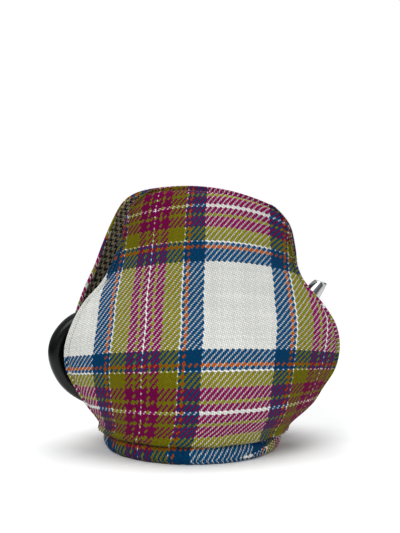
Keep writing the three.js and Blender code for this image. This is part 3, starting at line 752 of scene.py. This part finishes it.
cosy = {
    # level by level from the hem up, in millimetres: height and depth at the middle, depth at the side edges,
    # how far the edges hang below the middle, how much higher the spout end is, half width, lean to the spout
    "levels": {
        "height": [15, 28, 43, 59, 78, 97, 115, 132, 149, 167, 186, 206, 219, 228.2],
        "depth": [74, 82, 86, 84.5, 78, 70, 61.5, 54, 48, 42, 32.5, 20.5, 14, 5.2],
        "edge": [1.2, 4, 13, 17, 20, 20, 17, 14, 11, 7, 5, 5, 5, 4.6],
        "droop": [2, 5, 5, 5.5, 7.5, 7.5, 6, 5, 5.5, 6.5, 7, 8, 9.4, 9.9],
        "tilt": [0, -2, -3, -2.5, -2.5, -2.5, -3, -3, -3.5, -6, -8, -9.5, -9, -7.5],
        "half": [79, 87.5, 100.5, 110, 119, 121.5, 117, 106.5, 92, 82, 77, 72.5, 66, 54.5],
        "lean": [-2.5, 0.5, 2, 2.5, 3.5, 5, 7, 7, 8, 9, 10.5, 12, 14, 15.5],
    },
    # what the fuller cut of the back panel adds
    "backAdds": {
        "droop": [0, 0, 0, 0, 0, -1, -2.5, -4.5, -6.5, -7, -6.5, -4, -2, 0],
        "tilt": [0, 0, 0, 0, -1, -1.5, -2.5, -4, -5, -5.5, -4.5, -2.5, -1.5, 0],
        "half": [0, 0, 0, 0, -1, -2, -2, 0, 4, 6.5, 6, 4, 2, 0],
        "lean": [0, 0, 0, 0, 1, 2, 2, 1, -1.5, -2.5, -1.5, -0.5, -0.3, 0],
    },
    "crownParting": 0.35 * mm,
    # across the rim, in millimetres from the edge: how deep the outer face and the lining lie
    "rimPlaces": [0, 0.5, 1.2, 2.3, 3.6, 4.7, 6.0, 9, 14, 20, 28],
    "outerDepth": [2.3, 0.9, 0.0, -0.6, 0.3, 3.0, 0.7, -0.3, -0.3, 0.0, 0.0],
    "innerDepth": [2.3, 3.5, 4.15, 4.5, 4.1, 3.7, 4.2, 5.4, 6.9, 7.9, 8.4],
    "rimLines": [0, 0.5, 1.2, 2.3, 3.6, 4.7, 6.0, 8.5],
    "creaseLines": [0.8, 1.6],
    "turnIn": [(0.5, 3.3), (1.3, 3.9), (2.8, 3.2)],   # the cut edge of the face: how far in, how deep
    "rimSpan": 0.115,             # half arc of the panel that spaces the close lines
    "columns": 92, "rows": 92,
    # where the threads lie: how many threads from the middle of the white block, for each power of the distance
    # across the panel and of the distance up from 127 mm above the hem, both in decimetres
    "blockHeight": 127 * mm,
    "ends": {(0, 0): -18.7, (1, 0): 81.3, (0, 1): -1.8, (1, 1): 6.0, (0, 2): 1.1, (2, 0): -7.7, (2, 1): -4.5,
             (1, 2): 6.3, (3, 0): 1.7},
    "picks": {(0, 0): 1.6, (0, 1): 68.2, (1, 0): -1.3, (1, 1): -2.7, (2, 0): 4.9, (2, 1): 6.0, (1, 2): -4.1},
    "sag": 1.1 * mm, "sagFrom": 8 * mm, "sagFadesIn": 25 * mm,
    "faceThickness": 1.2 * mm, "liningThickness": 0.8 * mm,
    "travelCap": 3.5 * mm,
}
# the cloth that the wadding pushes out; a shrink below nothing cuts it larger than its stitched outline
padSettings = {"quality": 6, "mass": 0.25, "tension_stiffness": 22, "compression_stiffness": 22,
               "shear_stiffness": 10, "bending_stiffness": 1.2, "shrink_min": -0.012, "use_pressure": True,
               "uniform_pressure_force": 1.4, "vertex_group_mass": "held"}
lastSimulatedFrame = 20
# how far the wadding stops short of the outer face and of the lining: at most, and as a share of the thickness
waddingGap = {"outer": (1.7 * mm, 0.36), "inner": (1.3 * mm, 0.28)}

hem = {
    # the channel, in millimetres
    "radius": 72.6, "lean": -3.0, "halfWidth": 4.6, "bottom": 0.6, "top": 13.6, "pucker": 0.75,
    "puckerPitch": 14.5, "unevenTop": 0.12,
    "around": 420, "section": 30,
    # the crease above it, and the panel's overhang and gathers above the crease
    "creaseRadius": 72.2 * mm, "creaseHeight": 13.2 * mm, "creaseReach": 2.6 * mm, "creaseWander": 1.3 * mm,
    "overhang": 3.4 * mm, "overhangAt": 5 * mm, "overhangSpread": 4 * mm,
    "gather": 0.9 * mm, "gatherReach": 9 * mm,
    # how the pattern runs: cloth for each radian round the section from the seam, and where it turns back
    "seamAngle": radians(150), "perRadian": 5.6 * mm, "turnUnder": 17.3 * mm,
    "thickness": 1.1 * mm,
}


def panelLevels(side, up):
    level = {key: smoothLine(values, up) * mm for key, values in cosy["levels"].items()}
    if side > 0:
        for key, values in cosy["backAdds"].items():
            level[key] = level[key] + smoothLine(values, up) * mm
    return level


def panelSurface(side, across, up):
    # the outer face: each level is an arc through its two side edges and its middle
    level = panelLevels(side, up)
    rise = level["depth"] - level["edge"]
    radius = (level["half"] ** 2 + rise ** 2) / (2 * rise)
    halfAngle = np.arcsin(np.clip(level["half"] / radius, -1, 1))
    halfAngle = np.where(rise > level["half"], pi - halfAngle, halfAngle)
    angle = across * halfAngle
    points = np.stack([
        level["lean"] + radius * np.sin(angle),
        side * (level["depth"] - radius * (1 - np.cos(angle))),
        level["height"] - level["droop"] * across ** 2 + level["tilt"] * across], axis=-1)
    return points, radius * halfAngle


def inwardNormals(side, across, up):
    step = 0.004
    a, u = np.clip(across, -1 + step, 1 - step), np.clip(up, step, 1 - step)
    alongAcross = panelSurface(side, a + step, u)[0] - panelSurface(side, a - step, u)[0]
    alongUp = panelSurface(side, a, u + step)[0] - panelSurface(side, a, u - step)[0]
    normal = np.cross(alongAcross, alongUp)
    return side * normal / np.linalg.norm(normal, axis=-1)[..., None]


def clothLength(side, up):
    # length of cloth from the hem seam up the middle of the panel
    fine = np.linspace(0, 1, 400)
    middle = panelSurface(side, np.zeros_like(fine), fine)[0]
    length = np.concatenate([[0], np.cumsum(np.linalg.norm(np.diff(middle, axis=0), axis=1))])
    return np.interp(up, fine, length)


def spreadLines(count, half, bothEnds):
    # evenly spread lines with the close ones that the rolled rim and its stitched groove need
    rim = np.array(cosy["rimLines"]) * mm / half
    start = rim if bothEnds else np.array([0.0])
    inner = np.linspace(start[-1], 2 - rim[-1] if bothEnds else 1 - rim[-1], count)
    return np.concatenate([start[:-1], inner, (2 if bothEnds else 1) - rim[-2::-1]])


def panelGrid(side):
    across = spreadLines(cosy["columns"], cosy["rimSpan"], True) - 1
    length = float(clothLength(side, np.array(1.0)))
    up = spreadLines(cosy["rows"], length, False)
    up = np.sort(np.concatenate([up, np.array(cosy["creaseLines"]) * mm / length]))
    upGrid, acrossGrid = np.meshgrid(up, across, indexing="ij")
    points, halfArc = panelSurface(side, acrossGrid, upGrid)
    fromHem = clothLength(side, upGrid)
    fromRim = np.minimum((1 - np.abs(acrossGrid)) * halfArc, length - fromHem)
    return {"across": acrossGrid, "up": upGrid, "points": points, "fromRim": fromRim, "halfArc": halfArc,
            "fromHem": fromHem, "length": length}


def depthBy(grid, key):
    return np.interp(grid["fromRim"] / mm, cosy["rimPlaces"], cosy[key]) * mm


def panelFaces(side, grid):
    # the outer and inner faces of the padded panel before the wadding pushes them out
    normals = inwardNormals(side, grid["across"], grid["up"])
    outerDepth, innerDepth = depthBy(grid, "outerDepth"), depthBy(grid, "innerDepth")
    arc, fromHem = grid["across"] * grid["halfArc"], grid["fromHem"]
    # gathers: the seam at the hem is drawn in by the elastic, so the cloth above it stands in small soft folds
    nearHem = np.exp(-fromHem / hem["gatherReach"])
    gathers = ripple(arc + 0.3 * fromHem, 5 + side, (0.011, 0.026))
    bulge = hem["overhang"] * np.exp(-((fromHem - hem["overhangAt"]) / hem["overhangSpread"]) ** 2)
    outerDepth = outerDepth - nearHem * hem["gather"] * gathers - bulge
    # slow unevenness of the wadding and the way it sags over the pot
    sag = ripple(arc * 1.3 + fromHem, 21 + side, (0.05, 0.12))
    sag = sag * ripple(fromHem - arc, 9 + side, (0.06, 0.15))
    inside = np.clip((grid["fromRim"] - cosy["sagFrom"]) / cosy["sagFadesIn"], 0, 1)
    outerDepth = outerDepth - cosy["sag"] * sag * inside
    outer = grid["points"] + normals * outerDepth[..., None]
    inner = grid["points"] + normals * innerDepth[..., None]
    # at the hem the outer face turns in and rests on the rolled casing, with a small overhang above the crease
    turn = np.arctan2(outer[..., 1], outer[..., 0] - hem["lean"] * mm)
    creaseHeight = hem["creaseHeight"] + hem["creaseWander"] * ripple(turn * 75 * mm, 31, (0.03, 0.09))
    crease = np.stack([hem["lean"] * mm + hem["creaseRadius"] * np.cos(turn),
                       hem["creaseRadius"] * np.sin(turn), creaseHeight], axis=-1)
    pull = np.exp(-(fromHem / hem["creaseReach"]) ** 2)[..., None]
    outer = outer * (1 - pull) + crease * pull
    for face in (outer, inner):
        face[..., 1] = side * np.maximum(side * face[..., 1], cosy["crownParting"])
    inner[0] = outer[0] + (inner[0] - outer[0]) * 0.45
    return outer, inner


def openRim(rows, columns):
    # up one side edge of a grid, over the crown and down the other side edge
    return ([(r, 0) for r in range(rows)] + [(rows - 1, c) for c in range(1, columns)]
            + [(r, columns - 1) for r in range(rows - 2, -1, -1)])


def padFaces(rows, columns, turnRim=False):
    # a closed pad: the outer grid, the inner grid turned over, and the rim between them
    half = rows * columns
    faces = gridFaces(rows, columns)
    faces += [tuple(half + i for i in f[::-1]) for f in faces]
    rim = [r * columns + c for r, c in openRim(rows, columns)] + list(range(columns - 2, 0, -1))
    for a, b in zip(rim, rim[1:] + rim[:1]):
        faces.append((b, a, half + a, half + b) if turnRim else (a, b, half + b, half + a))
    return faces


def puffOut(name, outer, inner, grid):
    # the two faces are sewn together at the rim and hem, the cloth is cut a little large, and the wadding
    # inside pushes the outer face into its soft swell; only the middle of the outer face moves
    rows, columns = outer.shape[:2]
    half = rows * columns
    points = np.concatenate([outer.reshape(-1, 3), inner.reshape(-1, 3)])
    mesh = bpy.data.meshes.new(name)
    mesh.from_pydata([tuple(p) for p in points], [], padFaces(rows, columns))
    bag = bpy.data.objects.new(name, mesh)
    scene.collection.objects.link(bag)
    heldGroup = bag.vertex_groups.new(name="held")
    stitched = (grid["fromRim"] < 5.2 * mm) | (grid["fromHem"] < 3 * mm)
    held = list(np.nonzero(stitched.ravel())[0]) + list(range(half, 2 * half))
    heldGroup.add([int(i) for i in held], 1.0, "ADD")
    cloth = bag.modifiers.new("Cloth", "CLOTH")
    for key, value in padSettings.items():
        setattr(cloth.settings, key, value)
    cloth.settings.effector_weights.gravity = 0
    cloth.collision_settings.use_collision = False
    cloth.collision_settings.use_self_collision = False
    cloth.point_cache.frame_start, cloth.point_cache.frame_end = 1, lastSimulatedFrame
    for frameNumber in range(1, lastSimulatedFrame + 1):
        scene.frame_set(frameNumber)
    shown = bag.evaluated_get(bpy.context.evaluated_depsgraph_get())
    moved = np.array([v.co for v in shown.data.vertices], float)[:half].reshape(outer.shape)
    scene.frame_set(1)
    bpy.data.objects.remove(bag)
    travel = moved - outer
    far = np.linalg.norm(travel, axis=-1, keepdims=True)
    print(f"  {name}: the wadding moved the cloth by {far.mean() / mm:.2f} mm, at most {far.max() / mm:.2f} mm")
    return outer + travel * np.minimum(1, cosy["travelCap"] / np.maximum(far, 1e-9))


def threadNumbers(across, fromHem):
    # cloth coordinates in threads, counted from the middle of the white block
    s, t = across / 0.1, (fromHem - cosy["blockHeight"]) / 0.1
    return np.stack([sum(count * s ** a * t ** b for (a, b), count in cosy[yarn].items())
                     for yarn in ("ends", "picks")], axis=-1)


def threadPlaces(grid, side):
    return threadNumbers(-side * grid["across"] * grid["halfArc"], grid["fromHem"])


def makePanel(prefix, side):
    grid = panelGrid(side)
    outer, inner = panelFaces(side, grid)
    outer = puffOut(prefix + "Bag", outer, inner, grid)
    outer[..., 1] = side * np.maximum(side * outer[..., 1], cosy["crownParting"])
    rows, columns = outer.shape[:2]
    uv = threadPlaces(grid, side)
    # the tartan face, rolled round the rim and turned in under the lining
    points, places = list(outer.reshape(-1, 3)), list(uv.reshape(-1, 2))
    faces = gridFaces(rows, columns, flip=side > 0)
    path = openRim(rows, columns)
    lastRing = [r * columns + c for r, c in path]
    normals = inwardNormals(side, grid["across"], grid["up"])
    for reach, depth in cosy["turnIn"]:
        ring = []
        for r, c in path:
            across = grid["across"][r, c] * (1 - reach * mm / grid["halfArc"][r, c])
            up = grid["up"][r, c] * (1 - reach * mm / grid["length"])
            point = panelSurface(side, np.array(across), np.array(up))[0] + normals[r, c] * depth * mm
            point[1] = side * max(side * point[1], cosy["crownParting"])
            ring.append(len(points))
            points.append(point)
            places.append(uv[r, c] + np.array([np.sign(across) * reach, reach]) / 1.3)
        for i in range(len(ring) - 1):
            quad = (lastRing[i], lastRing[i + 1], ring[i + 1], ring[i])
            faces.append(quad if side < 0 else quad[::-1])
        lastRing = ring
    face = makePiece(prefix + "TartanFace", points, faces, "cosy", tartanTweed,
                     (prefix + "_outer",), places)
    addModifier(face, "SOLIDIFY", thickness=cosy["faceThickness"], offset=-1)
    makeWaddingPiece(prefix, side, outer, inner)
    makeLining(prefix, side, grid, inner)
    makeTopstitch(prefix, side, grid, outer)


def makeWaddingPiece(prefix, side, outer, inner):
    keepRows, keepColumns = slice(2, -9, 2), slice(8, -8, 2)
    rise = inner[keepRows, keepColumns] - outer[keepRows, keepColumns]
    thick = np.linalg.norm(rise, axis=-1, keepdims=True)
    unit = rise / thick
    outerGap, innerGap = (np.minimum(most, share * thick) for most, share in waddingGap.values())
    top = outer[keepRows, keepColumns] + unit * outerGap
    bottom = inner[keepRows, keepColumns] - unit * innerGap
    points = np.concatenate([top.reshape(-1, 3), bottom.reshape(-1, 3)])
    faces = padFaces(*top.shape[:2], turnRim=True)
    if side > 0:
        faces = [tuple(f[::-1]) for f in faces]
    pad = makePiece(prefix + "Wadding", points, faces, "cosy", polyesterWadding,
                    (prefix + "_wadding",))


def makeLining(prefix, side, grid, inner):
    keepRows, keepColumns = slice(0, -2), slice(2, -2)
    face = inner[keepRows, keepColumns]
    arc = (grid["across"] * grid["halfArc"])[keepRows, keepColumns]
    uv = np.stack([arc, grid["fromHem"][keepRows, keepColumns]], axis=-1) / puppytooth["threadPitch"]
    faces = gridFaces(*face.shape[:2], flip=side < 0)
    lining = makePiece(prefix + "PuppytoothLining", face.reshape(-1, 3), faces, "cosy",
                       puppytoothWorsted, (prefix + "_lining",), uv.reshape(-1, 2))
    addModifier(lining, "SOLIDIFY", thickness=cosy["liningThickness"], offset=-1)


stitch = {"fromEdge": 4.7 * mm, "pitch": 3.1 * mm, "length": 2.3 * mm, "radius": 0.3 * mm,
          "sink": 0.1 * mm, "arch": 0.3 * mm, "sides": 6, "rings": 5}


def makeTopstitch(prefix, side, grid, outer):
    # lock stitches sunk in the groove, one short round thread for each
    rowAt = np.argmin(np.abs((grid["length"] - grid["fromHem"][:, 0]) - stitch["fromEdge"]))
    columnAt = int(np.argmin(np.abs((1 + grid["across"][0]) * cosy["rimSpan"] - stitch["fromEdge"])))
    columns = outer.shape[1]
    line = np.concatenate([outer[2:rowAt, columnAt], outer[rowAt, columnAt:columns - columnAt],
                           outer[rowAt - 1:1:-1, columns - 1 - columnAt]])
    length = np.concatenate([[0], np.cumsum(np.linalg.norm(np.diff(line, axis=0), axis=1))])
    points, faces = [], []
    sides, rings = stitch["sides"], stitch["rings"]
    for start in np.arange(2 * mm, length[-1] - 3 * mm, stitch["pitch"]):
        at = start + np.linspace(0, stitch["length"], rings)
        middle = np.stack([np.interp(at, length, line[:, k]) for k in range(3)], axis=1)
        along = middle[-1] - middle[0]
        along /= np.linalg.norm(along)
        sideways = np.cross(along, np.array([0, side, 0.2]))
        sideways /= np.linalg.norm(sideways)
        outward = np.cross(sideways, along)
        first = len(points)
        for i in range(rings):
            arch = sin(pi * i / (rings - 1))
            radius = stitch["radius"] * (0.55 + 0.45 * arch)
            centre = middle[i] + outward * (stitch["arch"] * arch - stitch["sink"])
            for k in range(sides):
                a = 2 * pi * k / sides
                points.append(centre + radius * (cos(a) * sideways + sin(a) * outward))
        faces += [tuple(first + i for i in f) for f in gridFaces(rings, sides, wrapColumns=True)]
        faces.append(tuple(first + k for k in range(sides))[::-1])
        faces.append(tuple(first + (rings - 1) * sides + k for k in range(sides)))
    makePiece(prefix + "Topstitch", points, faces, "cosy", stitchCotton)


# sections in millimetres, about the crown line and about each side edge, and how far along they run
crownTape = {"section": [(-0.26, -7.5), (0.26, -7.5), (0.26, -2.6), (0, -2.3), (-0.26, -2.6)], "reach": 0.93,
             "steps": 60}
sideTack = {"section": [(0.2, -0.55), (-5, -0.55), (-5, 0.55), (0.2, 0.55)], "from": 0.012, "to": 0.085,
            "steps": 14, "eased": 0.3 * mm}


def makeCrownTape(facts):
    across = np.linspace(-facts["reach"], facts["reach"], facts["steps"])
    crest = panelSurface(-1, across, np.ones_like(across))[0]
    points = [(p[0], y * mm, p[2] + z * mm) for p in crest for y, z in facts["section"]]
    count = len(facts["section"])
    faces = gridFaces(len(across), count, wrapColumns=True, flip=True)
    faces.append(tuple(range(count)))
    faces.append(tuple((len(across) - 1) * count + k for k in range(count))[::-1])
    makePiece("crownTape", points, faces, "cosy", seamTape, ("crown_tape",))


# ---------- the hem

def makeHem(facts):
    # the gathered casing: a rolled channel drawn in by its elastic, in small uneven puckers
    middle, halfHeight = (facts["bottom"] + facts["top"]) / 2, (facts["top"] - facts["bottom"]) / 2
    turn = np.arange(facts["around"]) * 2 * pi / facts["around"]
    section = np.radians(np.linspace(158, -158, facts["section"]))
    count = round(2 * pi * facts["radius"] / facts["puckerPitch"])
    warp = turn + 0.05 * np.sin(5 * turn + 1.1) + 0.03 * np.sin(11 * turn + 0.4)
    puckers = np.sin(count * warp) * (0.65 + 0.35 * np.sin(3 * turn + 0.7))
    puckers += 0.35 * np.sin(2.0 * count * warp + 1.3)
    points, places = [], []
    for t, pucker in zip(turn, puckers):
        # the check runs on from the panel above; the front and back halves are joined at the sides
        front = sin(t) < 0
        arc = (atan2(cos(t), -sin(t)) if front else atan2(-cos(t), sin(t))) * (facts["radius"] + 4) * mm
        for s in section:
            swell = facts["pucker"] * pucker * (0.35 + 0.65 * max(0.0, cos(s)))
            radius = facts["radius"] + (facts["halfWidth"] + swell) * cos(s)
            tall = halfHeight - facts["unevenTop"] + facts["unevenTop"] * pucker * abs(sin(s))
            point = (facts["lean"] + radius * cos(t), radius * sin(t), middle + tall * sin(s))
            points.append(tuple(length * mm for length in point))
            down = (facts["seamAngle"] - s) * facts["perRadian"]
            down = facts["turnUnder"] - abs(down - facts["turnUnder"])
            places.append(threadNumbers(np.array(arc * 1.03), np.array(-down)))
    faces = gridFaces(facts["around"], facts["section"], wrapRows=True, flip=True)
    roll = makePiece("gatheredHem", points, faces, "cosy", tartanTweed, ("hem_casing",), places)
    addModifier(roll, "SOLIDIFY", thickness=facts["thickness"], offset=-1)


elastic = {"around": 300, "sides": 16, "halfThick": 1.5 * mm, "braid": 0.05}


def makeElastic(facts):
    low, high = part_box("hem_elastic")
    middleZ, tall = (low.z + high.z) / 2, (high.z - low.z) / 2
    radius, lean = hem["radius"] * mm, hem["lean"] * mm
    around, sides = facts["around"], facts["sides"]
    points = []
    for a in range(around):
        t = 2 * pi * a / around
        for k in range(sides):
            s = 2 * pi * k / sides
            braid = 1 + facts["braid"] * cos(8 * s) * cos(150 * t)
            r = radius + facts["halfThick"] * cos(s) * braid
            points.append((lean + r * cos(t), r * sin(t), middleZ + tall * sin(s) * braid * 0.98))
    faces = gridFaces(around, sides, wrapRows=True, wrapColumns=True)
    makePiece("hemElastic", points, faces, "cosy", braidedElastic, ("hem_elastic",))


def makeSideTacks(facts):
    # bar tacks that close the side seams under the openings
    for name, end, node in (("leftTack", -1, "left_seam_tack"), ("rightTack", 1, "right_seam_tack")):
        ups = np.linspace(facts["from"], facts["to"], facts["steps"])
        edge = panelSurface(-1, np.full_like(ups, end), ups)[0]
        points = [(p[0] + end * x * mm, end * y * mm, p[2]) for p in edge for x, y in facts["section"]]
        faces = gridFaces(len(ups), 4, wrapColumns=True, flip=True)
        faces.append((0, 1, 2, 3))
        faces.append(tuple((len(ups) - 1) * 4 + k for k in (3, 2, 1, 0)))
        tack = makePiece(name, points, faces, "cosy", seamTape, (node,))
        addModifier(tack, "BEVEL", width=facts["eased"], segments=2)


makePanel("front", -1)
print("teapot and cosy: front panel")
makePanel("back", 1)
print("teapot and cosy: back panel")
makeCrownTape(crownTape)
makeHem(hem)
makeElastic(elastic)
makeSideTacks(sideTack)
print("teapot and cosy: hem, tape and tacks")
